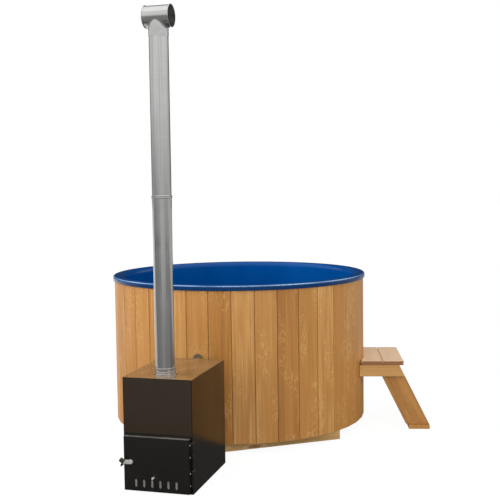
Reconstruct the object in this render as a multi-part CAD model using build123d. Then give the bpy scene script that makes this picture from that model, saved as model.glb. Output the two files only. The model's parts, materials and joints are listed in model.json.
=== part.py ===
from build123d import *
import math
import os

# Fibreglass hot tub with an outside wood stove, chimney and steps.
# Sizes are in millimetres. +Z is up, the origin is on the floor on the tub's axis, and the stove stands
# on the -Y side. Angles are in degrees, anticlockwise from +X.

# Timber stock
board_thick = 28.0
board_width = 145.0
board_gap = 3.0
tongue_thick = 7.0
tongue_length = 6.0
tongue_height = 12.0
groove_clear = 1.5
joint_chamfer = 2.5
bearer_width = 45.0
bearer_height = 65.0

# Tub
tub_radius = 900.0
tub_height = 1090.0
stave_count = 38
stave_clear = 0.3
hose_board_angle = -91.3
cladding_panels = 6
rim_overhang = 14.0
rim_skirt = 34.0
liner_wall = 8.0
former_depth = 29.7
former_height = 28.0
former_pieces = 12
former_gap = 1.0
former_over_hole = 25.5
liner_clear = 2.0
wall_taper = 26.0
bench_height = 380.0
bench_nose_radius = 488.0
well_taper = 14.0
rim_shoulder = 32.0
rim_edge = 14.0
bench_back_fillet = 70.0
bench_nose_fillet = 40.0
well_fillet = 60.0
edge_fillet = 3.0
post_size = 45.0
post_count = 6
post_circle = 640.0
bearer_angle = 34.7
bearer_count = 5
bearer_face = 775.0
bearer_setback = 5.0
inner_setback = 40.0
seat_clear = 0.3

# Water line between the stove and the liner
hose_inner = 40.0
hose_wall = 5.0
upper_line_over_cove = 4.0
lower_line_height = 230.0
hose_hole = 80.0
hose_hole_rise = 13.0
stub_length = 60.0
stub_wall = 3.3
hose_fit = 0.2
hose_setback = 8.0
fitting_flange = 80.0
fitting_flange_thick = 6.0
fitting_bore = 32.0
nut_width = 64.0
nut_thick = 12.0
tail_length = 44.0
grille_diameter = 56.0
grille_slot = 5.0
grille_slots = 5
grille_thick = 4.0
clamp_width = 12.0
clamp_band = 1.2
clamp_housing = 10.0

# Drain
drain_offset = 188.0
drain_along = 200.0
drain_flange_diameter = 90.0
drain_flange_thick = 6.0
drain_neck = 50.0
drain_bore = 40.0
drain_seat_bore = 34.0
drain_pipe_wall = 3.0
drain_pipe_lengths = 3
drain_pipe_height = 36.0
drain_bend = 32.0
drain_nut_diameter = 66.0
drain_nut_thick = 10.0
drain_hole_clear = 4.0
drain_spigot = 12.0
plug_thick = 13.0
plug_taper = 1.2
plug_ring = 24.0
plug_ring_wire = 3.0
valve_gap = 6.0
valve_body_diameter = 62.0
valve_length = 72.0
valve_socket = 16.0
valve_ball = 48.0
valve_ball_bore = 30.0
valve_ball_clear = 0.3
valve_stem = 10.0
valve_tail_diameter = 40.0
valve_tail_length = 46.0
valve_lever_length = 96.0
valve_lever_width = 18.0
valve_lever_thick = 4.0
valve_grip_length = 56.0
valve_grip_wall = 2.5

# Stove
stove_gap = 162.0
stove_width = 414.0
stove_depth = 607.0
stove_height = 650.0
casing_wall = 4.0
panel_thick = 3.0
panel_bottom = 332.0
panel_clear = 0.5
firebox_width = 320.0
firebox_depth = 515.0
firebox_bottom = 20.0
firebox_top = 520.0
firebox_wall = 5.0
fire_opening_width = 280.0
fire_opening_top = 295.0
ledge_size = 10.0
grate_height = 150.0
grate_thick = 12.0
grate_length = 430.0
grate_slot = 12.0
grate_slots = 10
grate_rim = 20.0
ash_pan_width = 266.0
ash_pan_length = 400.0
ash_pan_height = 62.0
ash_pan_wall = 2.0
ash_pan_setback = 20.0
ash_handle_width = 90.0
ash_handle_rod = 8.0
ash_handle_reach = 16.0
baffle_height = 400.0
baffle_length = 390.0
baffle_thick = 6.0
loose_clear = 2.0
stub_embed = 10.0
hole_clear = 0.2

# Stove door
door_thick = 30.0
door_width = 390.0
door_shift = -2.0
door_bottom = 9.0
door_top = 318.0
door_sheet = 3.0
door_corner = 3.0
door_clear = 0.5
slot_count = 6
slot_pitch = 48.5
slot_width = 14.0
slot_height = 44.0
slot_bottom = 32.0
slot_centre = -4.0
slider_thick = 2.0
slider_margin = 16.0
slider_top = 100.0
slider_play = 0.3
guide_lip = 6.0
guide_bar = 8.0
guide_sheet = 1.5
knob_height = 93.0
knob_start = -16.0
knob_diameter = 13.0
knob_length = 26.0
knob_stem = 6.0
knob_neck = 3.0
knob_slot_clear = 1.0
knob_fillet = 2.0
seal_width = 10.0
seal_depth = 9.0
seal_inset = 24.0
seal_gap = 0.3

# Door hinges
hinge_offset = 10.5
hinge_forward = 8.0
hinge_barrel = 9.0
hinge_pin = 5.0
hinge_length = 90.0
hinge_heights = (89.5, 250.5)
hinge_leaf = 2.5
hinge_leaf_reach = 32.0
hinge_split = 0.5
running_clear = 0.05
screw_spread = 34.0
screw_head = 8.0
screw_head_thick = 2.0
screw_shank = 4.0

# Door latch
latch_inset = 42.5
latch_height = 174.0
latch_bush = 26.0
latch_bush_thick = 5.0
latch_spindle = 10.0
latch_cap = 15.0
latch_cap_thick = 4.0
latch_plate_width = 24.0
latch_plate_thick = 5.0
latch_plate_reach = 56.5
latch_grip_back = 26.0
latch_grip_up = 2.0
latch_grip_rise = 35.0
latch_rod = 8.0
latch_rod_bend = 4.5
latch_rod_length = 26.0
latch_grip_diameter = 26.0
latch_grip_length = 27.0
latch_grip_gap = 5.0
latch_grip_fillet = 4.0
keeper_thick = 4.0
keeper_reach = 32.0
keeper_lip = 5.0
keeper_room = 1.0
keeper_drop = 8.5
keeper_floor = 5.5

# Chimney
flue_setback = 139.0
flue_diameter = 113.0
flue_wall = 1.0
collar_wall = 3.0
collar_rise = 40.0
collar_flange = 8.0
collar_flange_thick = 6.0
collar_bead = 5.0
collar_bead_step = 20.0
flue_fit = 0.3
flue_section = 1008.0
flue_bead = 2.6
flue_bead_height = 9.0
flue_insert = 60.0
cap_diameter = 122.0
cap_half_length = 79.0
cap_lip = 3.5
cap_lip_width = 6.0
cap_sleeve = 112.0
cap_blend = 20.0

# Steps
steps_angle = 12.0
steps_width = 560.0
tread_top = 481.0
tread_gap = 4.0
tread_scribe = 24.5
rail_height = 80.0
leg_lean = 26.3
leg_setback = 31.5
wall_clear = 0.4

# Derived sizes of the tub
stave_inner = tub_radius - board_thick
stave_step = 360.0 / stave_count
stave_width = 2.0 * stave_inner * math.tan(math.radians(stave_step / 2.0)) - stave_clear
stave_corner = math.hypot(tub_radius, stave_width / 2.0)
stave_bottom = bearer_height
stave_top = tub_height - liner_wall
deck_bottom = bearer_height
deck_top = deck_bottom + board_thick
deck_radius = stave_inner - seat_clear
former_inner = deck_radius - former_depth
rim_radius = tub_radius + rim_overhang
wall_outer = former_inner - liner_clear
wall_inner = wall_outer - liner_wall
wall_foot = wall_inner - wall_taper
well_floor = deck_top + liner_wall
bench_top = well_floor + bench_height
upper_line_height = bench_top + bench_back_fillet + fitting_flange / 2.0 + upper_line_over_cove
well_top_radius = bench_nose_radius - bench_nose_fillet
well_foot_radius = well_top_radius - well_taper
port_x = tub_radius * math.cos(math.radians(hose_board_angle))
hose_outer = hose_inner + 2.0 * hose_wall
tail_outer = hose_inner - 2.0 * hose_fit
tread_bottom = tread_top - board_thick
steps_reach = tub_radius - tread_scribe + 2.0 * board_width + tread_gap

# Derived places of the stove
stove_back = -(tub_radius + stove_gap)
stove_front = stove_back - stove_depth
front_sheet = stove_front + panel_thick
firebox_front = front_sheet + casing_wall
flue_y = stove_front + flue_setback
collar_top = stove_height + collar_rise
lower_flue_top = stove_height + collar_flange_thick + flue_section
cap_height = lower_flue_top + flue_section
door_front = stove_front - door_thick
door_rear = stove_front - door_clear
door_left = door_shift - door_width / 2.0
door_right = door_shift + door_width / 2.0
hinge_x = door_right + hinge_offset
hinge_y = stove_front - hinge_forward
latch_x = door_left + latch_inset
seal_reach = front_sheet - seal_gap


def block(x0, x1, y0, y1, z0, z1):
    """A box between two corners."""
    size = (x1 - x0, y1 - y0, z1 - z0)
    return Pos((x0 + x1) / 2, (y0 + y1) / 2, (z0 + z1) / 2) * Box(*size)


def rod(start, direction, diameter, length):
    """A solid cylinder that starts at a point and runs along a direction."""
    face = Plane(origin=start, z_dir=direction) * Circle(diameter / 2)
    return extrude(face, amount=length, dir=direction)


def tube(start, direction, outer, inner, length):
    """An open pipe that starts at a point and runs along a direction."""
    return rod(start, direction, outer, length) - rod(start, direction, inner, length)


def turned(points, radii):
    """A solid turned about Z from (radius, height) corners, each with its own fillet."""
    corners = [(r, 0, z) for r, z in points]
    outline = FilletPolyline(*corners, radius=radii, close=True)
    return revolve(make_face(outline), axis=Axis.Z)


def group(pieces):
    """Several separate solids kept together under one name."""
    solids = []
    for piece in pieces:
        solids.extend(piece.solids())
    return Compound(children=solids)


def write(name, shape):
    """Save one sub-part."""
    export_step(shape, f"parts/{name}.step")


def at_angle(angle):
    """The turn that takes +X to an angle about the tub's axis."""
    return Rot(0, 0, angle)


def board_profile(width):
    """The tongued and grooved section: X across the board, Y from the back to the shown face."""
    half = width / 2
    low = tongue_height - tongue_thick / 2
    high = tongue_height + tongue_thick / 2
    groove_low = low - groove_clear
    groove_high = high + groove_clear
    depth = tongue_length + groove_clear
    outline = Polyline(
        (-half, 0),
        (half, 0),
        (half, groove_low),
        (half - depth, groove_low),
        (half - depth, groove_high),
        (half, groove_high),
        (half, board_thick - joint_chamfer),
        (half - joint_chamfer, board_thick),
        (-half + joint_chamfer, board_thick),
        (-half, board_thick - joint_chamfer),
        (-half, high),
        (-half - tongue_length, high),
        (-half - tongue_length, low),
        (-half, low),
        close=True,
    )
    return make_face(outline)


# Cladding


def make_staves():
    """The upright boards round the tub; the first has the two hose holes."""
    board = extrude(board_profile(stave_width), amount=stave_top - stave_bottom)
    board = Pos(0, stave_inner, stave_bottom) * board
    staves = []
    for index in range(stave_count):
        angle = hose_board_angle + index * stave_step
        stave = at_angle(angle - 90) * board
        if index == 0:
            for height in (upper_line_height, lower_line_height):
                start = (port_x, -tub_radius - board_thick, height + hose_hole_rise)
                stave -= rod(start, (0, 1, 0), hose_hole, 3 * board_thick)
        staves.append(stave)
    return staves


def ring_piece(inner, outer, start, sweep_angle, height):
    """One curved board of a former ring."""
    first = math.radians(start)
    last = math.radians(start + sweep_angle)
    ends = []
    for angle in (first, last):
        along = (math.cos(angle), math.sin(angle))
        ends.append(Line((inner * along[0], inner * along[1]), (outer * along[0], outer * along[1])))
    arcs = [CenterArc((0, 0), radius, start, sweep_angle) for radius in (inner, outer)]
    edges = arcs + ends
    return extrude(make_face(edges), amount=height)


def make_former(bottom):
    """A ring of curved boards that the cladding is fixed to."""
    step = 360.0 / former_pieces
    gap_angle = math.degrees(former_gap / former_inner)
    piece = ring_piece(former_inner, deck_radius, 0, step - gap_angle, former_height)
    pieces = []
    for index in range(former_pieces):
        pieces.append(at_angle(index * step) * Pos(0, 0, bottom) * piece)
    return group(pieces)


# Base


def along_bearers(shape):
    """Turn a shape drawn along X to lie along the bearers."""
    return at_angle(bearer_angle) * shape


def make_bearers():
    """Beams on the floor, each cut to the chord that it spans, the inner ones shorter."""
    outermost = bearer_face - bearer_width / 2
    step = 2 * outermost / (bearer_count - 1)
    beams = []
    for index in range(bearer_count):
        offset = index * step - outermost
        near = abs(offset) + bearer_width / 2
        setback = bearer_setback if index in (0, bearer_count - 1) else inner_setback
        half = math.sqrt((tub_radius - setback) ** 2 - near**2)
        beam = block(-half, half, offset - bearer_width / 2, offset + bearer_width / 2, 0, bearer_height)
        beams.append(along_bearers(beam))
    return group(beams)


def drain_point():
    """The drain's place on plan."""
    turn = math.radians(bearer_angle)
    x = drain_along * math.cos(turn) - drain_offset * math.sin(turn)
    y = drain_along * math.sin(turn) + drain_offset * math.cos(turn)
    return x, y


def make_deck():
    """Boards laid across the bearers and cut to a round; the one over the drain is in two lengths."""
    disc = Pos(0, 0, deck_bottom) * extrude(Circle(deck_radius), amount=board_thick)
    reach = (drain_nut_diameter + drain_hole_clear) / 2
    pitch = board_width + board_gap
    count = 2 * math.ceil((deck_radius + board_gap) / pitch)
    boards = []
    for index in range(count):
        start = (index - count / 2) * pitch + board_gap / 2
        end = start + board_width
        plank = block(start, end, -tub_radius, tub_radius, deck_bottom, deck_top)
        if start < drain_along < end:
            plank -= block(start, end, drain_offset - reach, drain_offset + reach, 0, tub_height)
        boards.append(along_bearers(plank) & disc)
    return group(boards)


def make_bench_posts():
    """Short posts between the deck and the underside of the bench."""
    half = post_size / 2
    post = block(post_circle - half, post_circle + half, -half, half, deck_top, bench_top - liner_wall)
    return group([at_angle(index * 360.0 / post_count) * post for index in range(post_count)])


# Liner


def make_liner():
    """The moulded shell: rim, wall, bench and foot well in one skin."""
    points = [
        (0, well_floor),
        (well_foot_radius, well_floor),
        (well_top_radius, bench_top),
        (wall_foot, bench_top),
        (wall_inner, tub_height),
        (rim_radius, tub_height),
        (rim_radius, tub_height - rim_skirt),
        (rim_radius - liner_wall, tub_height - rim_skirt),
        (rim_radius - liner_wall, tub_height - liner_wall),
        (wall_outer, tub_height - liner_wall),
        (wall_foot + liner_wall, bench_top - liner_wall),
        (well_top_radius + liner_wall, bench_top - liner_wall),
        (well_foot_radius + liner_wall, deck_top),
        (0, deck_top),
    ]
    radii = [
        0,
        well_fillet,
        bench_nose_fillet,
        bench_back_fillet,
        rim_shoulder,
        rim_edge,
        edge_fillet,
        edge_fillet,
        min(edge_fillet, rim_radius - liner_wall - stave_corner),
        rim_shoulder - liner_wall,
        bench_back_fillet + liner_wall,
        bench_nose_fillet - liner_wall,
        well_fillet + liner_wall,
        0,
    ]
    shell = turned(points, radii)
    for height in (upper_line_height, lower_line_height):
        shell -= rod((port_x, 0, height), (0, -1, 0), tail_outer + 2 * hole_clear, tub_radius)
    x, y = drain_point()
    return shell - rod((x, y, 0), (0, 0, 1), drain_neck + 2 * hole_clear, bench_top)


def wall_at(height):
    """Inner radius of the liner's wall, or of the foot well's wall, at a height."""
    if height > bench_top:
        share = (height - bench_top) / (tub_height - bench_top)
        return wall_foot + share * (wall_inner - wall_foot)
    share = (height - well_floor) / (bench_top - well_floor)
    return well_foot_radius + share * (well_top_radius - well_foot_radius)


def wall_cone(height, offset, drop=0.0):
    """A cone that follows the wall round a height, moved out by an offset and down by a drop."""
    reach = fitting_flange
    low = wall_at(height + drop - reach / 2) + offset
    high = wall_at(height + drop + reach / 2) + offset
    slope = (high - low) / reach
    outline = Polyline(
        (0, 0, height - reach),
        (low - slope * reach / 2, 0, height - reach),
        (high + slope * reach / 2, 0, height + reach),
        (0, 0, height + reach),
        close=True,
    )
    return revolve(make_face(outline), axis=Axis.Z)


# Water line


def fitting_places(height):
    """The wall's inner face, the backing nut's outer face and the tail's end, as Y values."""
    inner = math.sqrt(wall_at(height) ** 2 - port_x**2)
    nut_end = inner + liner_wall + nut_thick + fitting_flange_thick / 2
    return -inner, -nut_end, -(nut_end + tail_length)


def make_fitting(height):
    """A flanged pipe through the liner's wall, with a ribbed hose tail outside."""
    wall_y, nut_y, tail_y = fitting_places(height)
    face_y = wall_y + 2 * fitting_flange_thick
    root_y = wall_y - fitting_flange_thick
    flange = rod((port_x, root_y, height), (0, 1, 0), fitting_flange, face_y - root_y)
    flange &= wall_cone(height, -hole_clear)
    pipe = rod((port_x, face_y, height), (0, -1, 0), tail_outer, face_y - tail_y)
    bore = rod((port_x, 0, height), (0, -1, 0), fitting_bore, tub_radius)
    seat = rod((port_x, face_y - grille_thick, height), (0, 1, 0), grille_diameter, grille_thick * 2)
    return flange + pipe - bore - seat


def make_grille(height):
    """The slotted guard plate that snaps into the fitting's flange."""
    face_y = fitting_places(height)[0] + 2 * fitting_flange_thick
    diameter = grille_diameter - 2 * hole_clear
    plate = rod((port_x, face_y - grille_thick, height), (0, 1, 0), diameter, grille_thick)
    pitch = 2 * grille_slot
    for index in range(grille_slots):
        middle = height + (index - (grille_slots - 1) / 2) * pitch
        half = math.sqrt((diameter / 2 - grille_slot) ** 2 - (middle - height) ** 2)
        low = middle - grille_slot / 2
        back = face_y - 2 * grille_thick
        plate -= block(port_x - half, port_x + half, back, face_y + grille_thick, low, low + grille_slot)
    return plate


def make_nut(height):
    """The six-sided backing nut outside the liner's wall."""
    nut_y = fitting_places(height)[1]
    plane = Plane(origin=(port_x, nut_y, height), x_dir=(1, 0, 0), z_dir=(0, 1, 0))
    outline = RegularPolygon(nut_width / 2, 6, major_radius=False)
    nut = extrude(plane * outline, amount=2 * nut_thick)
    nut -= wall_cone(height, liner_wall + hole_clear, liner_wall)
    bore = tail_outer + 2 * hole_clear
    return nut - rod((port_x, nut_y - nut_thick, height), (0, 1, 0), bore, 4 * nut_thick)


def hose_ends(height):
    """The hose's ends on the stove's stub and on the fitting's tail, as Y values."""
    return stove_back + hose_setback, fitting_places(height)[1] - hose_setback


def make_hose(height):
    """A rubber hose between the stove's stub and the fitting's tail."""
    start, end = hose_ends(height)
    return tube((port_x, start, height), (0, 1, 0), hose_outer, hose_inner, end - start)


def make_clamp(height, middle):
    """A band round the hose's end with its screw housing on top."""
    low = middle - clamp_width / 2
    inner = hose_outer + 2 * hole_clear
    band = tube((port_x, low, height), (0, 1, 0), inner + 2 * clamp_band, inner, clamp_width)
    half = clamp_housing / 2
    base = height + inner / 2 + clamp_band / 2
    top = height + inner / 2 + clamp_housing
    housing = block(port_x - half, port_x + half, low, low + clamp_width, base, top)
    return band + housing


def make_clamps():
    """The four hose clamps."""
    clamps = []
    for height in (upper_line_height, lower_line_height):
        for end, inward in zip(hose_ends(height), (1, -1)):
            clamps.append(make_clamp(height, end + inward * (hose_setback + clamp_width / 2)))
    return group(clamps)


# Drain


def make_drain_flange():
    """The drain's flange in the foot well's floor, with a stepped bore for the plug."""
    x, y = drain_point()
    pipe_top = deck_bottom + drain_spigot
    spigot = drain_neck - 2 * drain_pipe_wall - 2 * hole_clear
    flange = rod((x, y, well_floor), (0, 0, 1), drain_flange_diameter, drain_flange_thick)
    neck = rod((x, y, pipe_top), (0, 0, 1), drain_neck, well_floor - pipe_top)
    tail = rod((x, y, deck_bottom), (0, 0, 1), spigot, drain_spigot)
    seat_z = well_floor + drain_flange_thick - plug_thick
    bore = rod((x, y, 0), (0, 0, 1), drain_seat_bore, tub_height)
    seat = rod((x, y, seat_z), (0, 0, 1), drain_bore, tub_height)
    return flange + neck + tail - bore - seat


def make_drain_nut():
    """The ring nut under the liner, in the deck's hole."""
    x, y = drain_point()
    start = (x, y, deck_top - drain_nut_thick)
    return tube(start, (0, 0, 1), drain_nut_diameter, drain_neck + 2 * hole_clear, drain_nut_thick)


def make_plug():
    """A tapered rubber plug with a pull ring on its top."""
    x, y = drain_point()
    seat_z = well_floor + drain_flange_thick - plug_thick + seat_clear
    top_radius = drain_bore / 2 - seat_clear
    cone = Pos(0, 0, plug_thick / 2) * Cone(top_radius - plug_taper, top_radius, plug_thick)
    ring = Rot(90, 0, 0) * Torus(plug_ring / 2, plug_ring_wire / 2)
    ring = Pos(0, 0, plug_thick + plug_ring / 2 - plug_ring_wire / 2) * ring
    return Pos(x, y, seat_z) * (cone + ring)


def valve_start():
    """Distance along the bearers at which the valve's body begins, clear of the cladding."""
    return math.sqrt(stave_corner**2 - (drain_offset - valve_body_diameter / 2) ** 2) + valve_gap


def make_drain_elbow():
    """The elbow under the foot well, with a socket for the pipe."""
    socket_start = drain_along + drain_bend
    path = FilletPolyline(
        (drain_along, drain_offset, deck_bottom + drain_spigot),
        (drain_along, drain_offset, drain_pipe_height),
        (socket_start + valve_socket, drain_offset, drain_pipe_height),
        radius=drain_bend,
    )
    start = Plane(origin=path @ 0, z_dir=path % 0)
    outer = sweep(start * Circle(drain_neck / 2 + drain_pipe_wall), path=path)
    inner = sweep(start * Circle(drain_neck / 2 - drain_pipe_wall), path=path)
    socket_bore = drain_neck + 2 * hole_clear
    socket = rod((socket_start, drain_offset, drain_pipe_height), (1, 0, 0), socket_bore, 2 * valve_socket)
    return along_bearers(outer - inner - socket)


def make_drain_pipe():
    """The straight pipe from the elbow to the valve, between two bearers, in lengths that meet end to end."""
    begin = drain_along + drain_bend + hole_clear
    length = (valve_start() + valve_socket - hole_clear - begin) / drain_pipe_lengths
    bore = drain_neck - 2 * drain_pipe_wall
    lengths = []
    for index in range(drain_pipe_lengths):
        start = (begin + index * length, drain_offset, drain_pipe_height)
        lengths.append(along_bearers(tube(start, (1, 0, 0), drain_neck, bore, length)))
    return group(lengths)


def valve_frame(shape):
    """Place a shape drawn along X from the valve's start."""
    return along_bearers(Pos(valve_start(), drain_offset, drain_pipe_height) * shape)


def valve_centre():
    """Distance from the valve's start to its ball's centre."""
    return valve_length - valve_socket - valve_ball / 2 + valve_ball_clear


def make_valve_body():
    """The valve's body, open at the outlet end so that the ball goes in, with a stem boss on top."""
    centre = valve_centre()
    cavity = valve_ball + 2 * valve_ball_clear
    body = rod((0, 0, 0), (1, 0, 0), valve_body_diameter, valve_length)
    boss = rod((centre, 0, 0), (0, 0, 1), 2 * valve_stem, valve_body_diameter / 2 + valve_stem / 2)
    shape = body + boss
    shape -= rod((-valve_stem, 0, 0), (1, 0, 0), drain_neck + 2 * hole_clear, valve_stem + valve_socket)
    shape -= rod((0, 0, 0), (1, 0, 0), valve_ball_bore, valve_length)
    shape -= Pos(centre, 0, 0) * Sphere(cavity / 2)
    shape -= rod((centre, 0, 0), (1, 0, 0), cavity, valve_length)
    shape -= rod((centre, 0, 0), (0, 0, 1), valve_stem + 2 * running_clear, valve_body_diameter)
    return valve_frame(shape)


def make_valve_tailpiece():
    """The turned end piece that holds the ball in, with a plain tail for a hose."""
    centre = valve_centre()
    cavity = valve_ball / 2 + valve_ball_clear
    bore = valve_ball_bore / 2
    lip = valve_ball / 4
    spigot = cavity - hole_clear
    collar = valve_body_diameter / 2 - casing_wall
    tail_start = valve_length + valve_stem
    tail_end = tail_start + valve_tail_length
    inner_end = math.sqrt(cavity**2 - bore**2)
    middle = math.sqrt((lip**2 + inner_end**2) / 2)
    outline = [
        Line((centre + lip, 0, spigot), (valve_length, 0, spigot)),
        Line((valve_length, 0, spigot), (valve_length, 0, collar)),
        Line((valve_length, 0, collar), (tail_start, 0, collar)),
        Line((tail_start, 0, collar), (tail_start, 0, valve_tail_diameter / 2)),
        Line((tail_start, 0, valve_tail_diameter / 2), (tail_end, 0, valve_tail_diameter / 2)),
        Line((tail_end, 0, valve_tail_diameter / 2), (tail_end, 0, bore)),
        Line((tail_end, 0, bore), (centre + inner_end, 0, bore)),
        ThreePointArc(
            (centre + inner_end, 0, bore),
            (centre + middle, 0, math.sqrt(cavity**2 - middle**2)),
            (centre + lip, 0, math.sqrt(cavity**2 - lip**2)),
        ),
        Line((centre + lip, 0, math.sqrt(cavity**2 - lip**2)), (centre + lip, 0, spigot)),
    ]
    return valve_frame(revolve(make_face(outline), axis=Axis.X))


def stem_top():
    """Height of the stem's top over the pipe's axis."""
    return valve_body_diameter / 2 + valve_stem / 2 + running_clear


def make_valve_ball():
    """The bored ball, shown closed, with its stem."""
    centre = valve_centre()
    ball = Sphere(valve_ball / 2) - rod((0, -valve_ball, 0), (0, 1, 0), valve_ball_bore, 2 * valve_ball)
    neck = valve_ball / 2 - valve_ball_clear
    stem = rod((0, 0, neck - valve_stem / 4), (0, 0, 1), valve_stem, stem_top() - neck + valve_stem / 4)
    return valve_frame(Pos(centre, 0, 0) * (ball + stem))


def make_valve_lever():
    """The flat lever on the stem, square to the pipe when shut."""
    low = stem_top()
    high = low + valve_lever_thick
    half = valve_lever_width / 2
    lever = block(-half, half, 0, valve_lever_length, low, high)
    lever += rod((0, 0, low), (0, 0, 1), valve_lever_width, valve_lever_thick)
    lever += rod((0, 0, high), (0, 0, 1), valve_stem, valve_lever_thick)
    return valve_frame(Pos(valve_centre(), 0, 0) * lever)


def make_valve_grip():
    """The plastic sleeve on the lever's end."""
    low = stem_top()
    half = valve_lever_width / 2
    end = valve_lever_length + valve_grip_wall
    start = end - valve_grip_length
    outer = block(
        -half - valve_grip_wall,
        half + valve_grip_wall,
        start,
        end,
        low - valve_grip_wall,
        low + valve_lever_thick + valve_grip_wall,
    )
    inner = block(-half, half, start - valve_grip_wall, valve_lever_length, low, low + valve_lever_thick)
    outer = fillet(outer.edges().filter_by(Axis.Y), valve_grip_wall)
    return valve_frame(Pos(valve_centre(), 0, 0) * (outer - inner))


# Stove


def make_casing():
    """The stove's outer box, its front sheet set back behind the edges of the others."""
    half = stove_width / 2
    wall = casing_wall
    box = block(-half, half, stove_front, stove_back, 0, stove_height)
    box -= block(-half + wall, half - wall, firebox_front, stove_back - wall, wall, stove_height - wall)
    box -= block(-half + wall, half - wall, stove_front - wall, front_sheet, wall, stove_height - wall)
    mouth = fire_opening_width / 2
    mouth_low = firebox_bottom + firebox_wall
    box -= block(-mouth, mouth, stove_front, firebox_front + wall, mouth_low, fire_opening_top)
    box -= rod((0, flue_y, firebox_top), (0, 0, 1), collar_outer() + 2 * hole_clear, stove_height)
    for height in (upper_line_height, lower_line_height):
        box -= rod((port_x, stove_back - 2 * wall, height), (0, 1, 0), tail_outer + 2 * hole_clear, 4 * wall)
    return box


def make_front_panel():
    """The plain cover over the upper front."""
    half = stove_width / 2 - casing_wall - panel_clear
    top = stove_height - casing_wall - panel_clear
    return block(-half, half, stove_front, front_sheet, panel_bottom, top)


def collar_outer():
    """Outer diameter of the flue collar's pipe."""
    return flue_diameter + 2 * flue_fit + 2 * collar_wall


def make_firebox():
    """The inner box that the fire burns in, with ledges for the grate and the baffle."""
    half = firebox_width / 2
    wall = firebox_wall
    back = firebox_front + firebox_depth
    box = block(-half, half, firebox_front, back, firebox_bottom, firebox_top)
    inner = half - wall
    front = firebox_front - wall
    box -= block(-inner, inner, front, back - wall, firebox_bottom + wall, firebox_top - wall)
    for top in (grate_height, baffle_height):
        for side in (-1, 1):
            x0, x1 = sorted((side * inner, side * (inner - ledge_size)))
            box += block(x0, x1, firebox_front, back - wall, top - ledge_size, top)
    flue_hole = collar_outer() + 2 * hole_clear
    return box - rod((0, flue_y, firebox_top - 2 * wall), (0, 0, 1), flue_hole, 4 * wall)


def make_grate():
    """The cast plate with slots that the wood lies on."""
    half = firebox_width / 2 - firebox_wall - loose_clear
    front = firebox_front + loose_clear
    plate = block(-half, half, front, front + grate_length, grate_height, grate_height + grate_thick)
    pitch = (2 * half - 2 * grate_rim) / grate_slots
    for index in range(grate_slots):
        middle = -half + grate_rim + (index + 0.5) * pitch
        x0 = middle - grate_slot / 2
        plate -= block(
            x0,
            x0 + grate_slot,
            front + grate_rim,
            front + grate_length - grate_rim,
            grate_height - grate_thick,
            grate_height + 2 * grate_thick,
        )
    return plate


def make_ash_pan():
    """The tray under the grate, with a bent rod handle on its front."""
    half = ash_pan_width / 2
    front = firebox_front + ash_pan_setback
    back = front + ash_pan_length
    low = firebox_bottom + firebox_wall
    wall = ash_pan_wall
    pan = block(-half, half, front, back, low, low + ash_pan_height)
    pan -= block(-half + wall, half - wall, front + wall, back - wall, low + wall, low + 2 * ash_pan_height)
    middle = low + ash_pan_height / 2
    span = ash_handle_width / 2
    path = FilletPolyline(
        (-span, front, middle),
        (-span, front - ash_handle_reach, middle),
        (span, front - ash_handle_reach, middle),
        (span, front, middle),
        radius=ash_handle_rod,
    )
    section = Plane(origin=path @ 0, z_dir=path % 0) * Circle(ash_handle_rod / 2)
    return pan + sweep(section, path=path)


def make_baffle():
    """The plate over the fire that sends the smoke to the back."""
    half = firebox_width / 2 - firebox_wall - loose_clear
    front = firebox_front + loose_clear
    return block(-half, half, front, front + baffle_length, baffle_height, baffle_height + baffle_thick)


def make_stubs():
    """Two short pipes on the stove's back."""
    stubs = []
    for height in (upper_line_height, lower_line_height):
        start = (port_x, stove_back - stub_embed, height)
        length = stub_embed + stub_length
        stubs.append(tube(start, (0, 1, 0), tail_outer, tail_outer - 2 * stub_wall, length))
    return group(stubs)


# Door


def slots(start_x, y0, y1):
    """The row of air slots with round ends, as one cutter."""
    centre = Pos(0, 0, slot_bottom + slot_height / 2)
    face = Plane.XZ * SlotOverall(slot_height, slot_width, rotation=90)
    slot = Pos(0, y1, 0) * extrude(face, amount=y1 - y0)
    cutters = []
    for index in range(slot_count):
        x = start_x + (index - (slot_count - 1) / 2) * slot_pitch
        cutters.append(Pos(x, 0, 0) * centre * slot)
    return group(cutters)


def knob_travel():
    """The slider's travel: half the slots' pitch."""
    return slot_pitch / 2


def make_door_shell():
    """The folded front of the door with its air slots and the knob's slot."""
    box = block(door_left, door_right, door_front, door_rear, door_bottom, door_top)
    box = fillet(box.edges().filter_by(Axis.Z).group_by(Axis.Y)[0], door_corner)
    sheet = door_sheet
    box -= block(
        door_left + sheet,
        door_right - sheet,
        door_front + sheet,
        door_rear + sheet,
        door_bottom + sheet,
        door_top - sheet,
    )
    box -= slots(slot_centre, door_front - sheet, door_front + 2 * sheet)
    knob_slot = block(
        knob_start - knob_stem / 2 - knob_slot_clear,
        knob_start + knob_travel() + knob_stem / 2 + knob_slot_clear,
        door_front - sheet,
        door_front + 2 * sheet,
        knob_height - knob_stem / 2 - knob_slot_clear,
        knob_height + knob_stem / 2 + knob_slot_clear,
    )
    box -= knob_slot
    spindle_hole = latch_spindle + 2 * running_clear
    box -= rod((latch_x, door_front - sheet, latch_height), (0, 1, 0), spindle_hole, 3 * sheet)
    for height in hinge_heights:
        for side in (-1, 1):
            start = (door_right - 2 * sheet, screw_y(), height + side * screw_spread)
            box -= rod(start, (1, 0, 0), screw_shank + 2 * hole_clear, 4 * sheet)
    return box


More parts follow.
